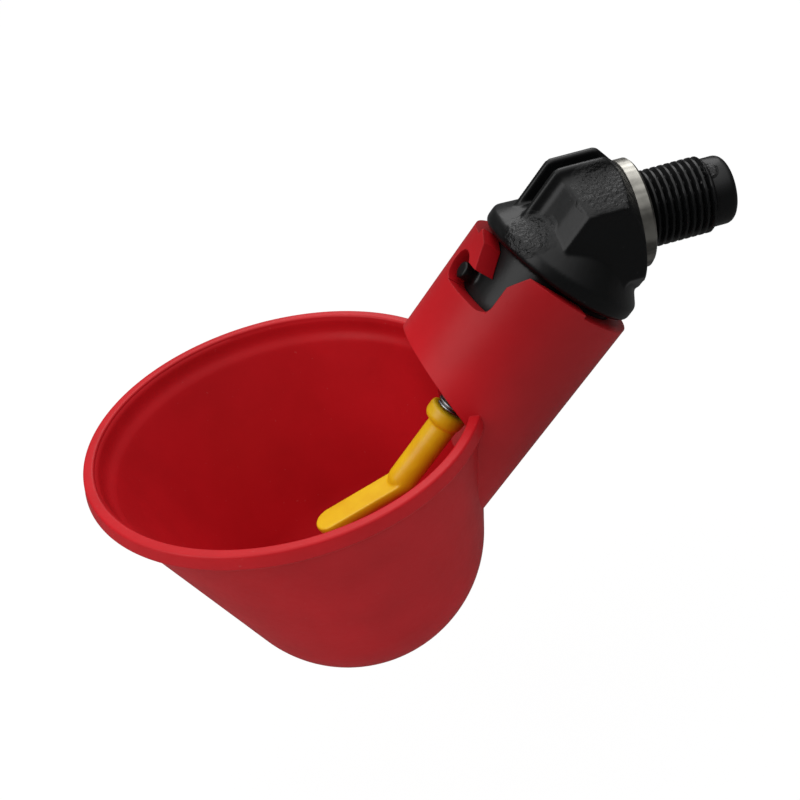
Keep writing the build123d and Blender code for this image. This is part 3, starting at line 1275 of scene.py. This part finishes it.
@dataclass
class Studio:
    """Plain floor, soft light and the camera.

    Angles are in degrees and distances in millimetres. The sky's stops are heights, from 0 straight
    down to 1 overhead, with the brightness at each.
    """

    layout: Layout
    azimuth: float = -5.494
    elevation: float = 33.968
    roll: float = -12.447
    distance: float = 154.965
    aim_right: float = 15.218
    aim_up: float = 2.267
    lens: float = 54.19
    sensor: float = 36.0
    nearest: float = 10.0
    lamps: tuple = (
        Lamp("key", (-0.45, -0.15, 0.30), 0.40, 1.2),
        Lamp("rim", (0.10, 0.45, 0.40), 0.40, 1.0),
    )
    sky: float = 1.9
    sky_stops: tuple = ((0.5, 0.02), (0.75, 0.12), (1.0, 1.0))
    floor_size: float = 4000.0
    floor_drop: float = 75.0
    floor_bounce: float = 0.72
    floor_gloss: float = 0.12
    floor_shade: float = 0.95
    floor_glow: float = 0.93

    def camera(self) -> None:
        """Place the camera from its angles, its distance from the rim and where it aims."""
        azimuth, elevation, roll = np.radians([self.azimuth, self.elevation, self.roll])
        back = np.array(
            [np.sin(azimuth) * np.cos(elevation), -np.cos(azimuth) * np.cos(elevation), np.sin(elevation)]
        )
        level = np.array([np.cos(azimuth), np.sin(azimuth), 0.0])
        right = np.cos(roll) * level + np.sin(roll) * np.cross(back, level)
        up = np.cross(back, right)
        aim = self.layout.rim_centre + self.aim_right * right + self.aim_up * up
        data = bpy.data.cameras.new("camera")
        data.lens = self.lens
        data.sensor_width = self.sensor
        data.clip_start = self.nearest * MM
        camera = add_object("camera", data)
        turned = Matrix([right, up, back]).transposed().to_4x4()
        camera.matrix_world = Matrix.Translation(Vector((aim + self.distance * back) * MM)) @ turned
        bpy.context.scene.camera = camera

    def hang(self, lamp: Lamp) -> None:
        """Hang a lamp so that it faces the bowl.

        Args:
            lamp: the lamp.
        """
        data = bpy.data.lights.new(lamp.name, "AREA")
        data.size = lamp.size
        data.energy = lamp.power
        hung = add_object(lamp.name, data)
        hung.location = lamp.place
        away = Vector(lamp.place) - Vector(self.layout.rim_centre * MM)
        hung.rotation_euler = away.to_track_quat("Z", "Y").to_euler()

    def world(self) -> None:
        """Light the scene from a pale sky that is brightest overhead."""
        shader = Shader(bpy.data.worlds.new("sky"))
        bpy.context.scene.world = shader.owner
        direction = shader.node("ShaderNodeTexCoord").outputs["Generated"]
        up = shader.node("ShaderNodeSeparateXYZ", {}, {0: direction}).outputs["Z"]
        height = shader.value("ShaderNodeMapRange", {}, {"Value": up, "From Min": -1.0})
        stops = [(position, (grey,) * 3) for position, grey in self.sky_stops]
        shade = shader.node("ShaderNodeValToRGB", {"stops": stops}, {0: height}).outputs[0]
        light = shader.node("ShaderNodeBackground", {}, {"Color": shade, "Strength": self.sky})
        shader.node("ShaderNodeOutputWorld", {}, {0: light.outputs[0]})

    def floor_white(self) -> bpy.types.Material:
        """Build the floor's white, which differs by what looks at it.

        The camera sees it almost glowing, with a faint shadow, mirror images see it dim, and all
        other light is thrown back.

        Returns:
            The material.
        """
        shader = Shader(bpy.data.materials.new("floor_white"))
        ray = shader.node("ShaderNodeLightPath").outputs
        dim, bounce, pale = (
            shader.node("ShaderNodeBsdfDiffuse", {}, {"Color": rgba((grey,) * 3)}).outputs[0]
            for grey in (self.floor_gloss, self.floor_bounce, self.floor_shade)
        )
        glow = shader.node("ShaderNodeEmission", {}, {"Color": rgba((1.0, 1.0, 1.0)), "Strength": 1.0})
        seen = shader.layer(self.floor_glow, pale, glow.outputs[0])
        unseen = shader.layer(ray["Is Glossy Ray"], bounce, dim)
        surface = shader.layer(ray["Is Camera Ray"], unseen, seen)
        shader.node("ShaderNodeOutputMaterial", {}, {"Surface": surface})
        return shader.owner

    def floor(self) -> None:
        """Lay a wide pale floor that looks white to the camera and keeps a faint shadow."""
        height = self.layout.rim_centre[2] - self.floor_drop
        points = np.column_stack([self.floor_size * SQUARE, np.full(len(SQUARE), height)]) * MM
        mesh = bpy.data.meshes.new("floor")
        mesh.from_pydata(points.tolist(), [], [(0, 1, 2, 3)])
        mesh.materials.append(self.floor_white())
        floor = add_object("floor", mesh)

    def build(self) -> None:
        """Set the view transform, camera, lamps, sky and floor."""
        bpy.context.scene.view_settings.view_transform = "Standard"
        self.camera()
        self.world()
        for lamp in self.lamps:
            self.hang(lamp)
        self.floor()


def main() -> None:
    """Build every piece and the studio round them."""
    logging.basicConfig(level=logging.INFO, format="%(name)s: %(message)s")
    layout = Layout.from_frame(rim_height=-15.5)
    Studio(layout).build()
    makers = (
        Cup(layout),
        ElbowValve(layout),
        Spigot(layout),
        SteelRing(layout),
        Trigger(),
        ReturnSpring(layout),
    )
    for maker in makers:
        piece = maker.build()
        LOG.info("%s: %d faces", piece.name, len(piece.data.polygons))
    hidden = {"valve_seat": Finish.RUBBER, "retaining_bush": Finish.BUSH, "valve_stem": Finish.WIRE_STEEL}
    for node, finish in hidden.items():
        finish.dress(frame["nodes"][node])
        LOG.info("%s dressed", node)


if __name__ == "__main__":
    main()
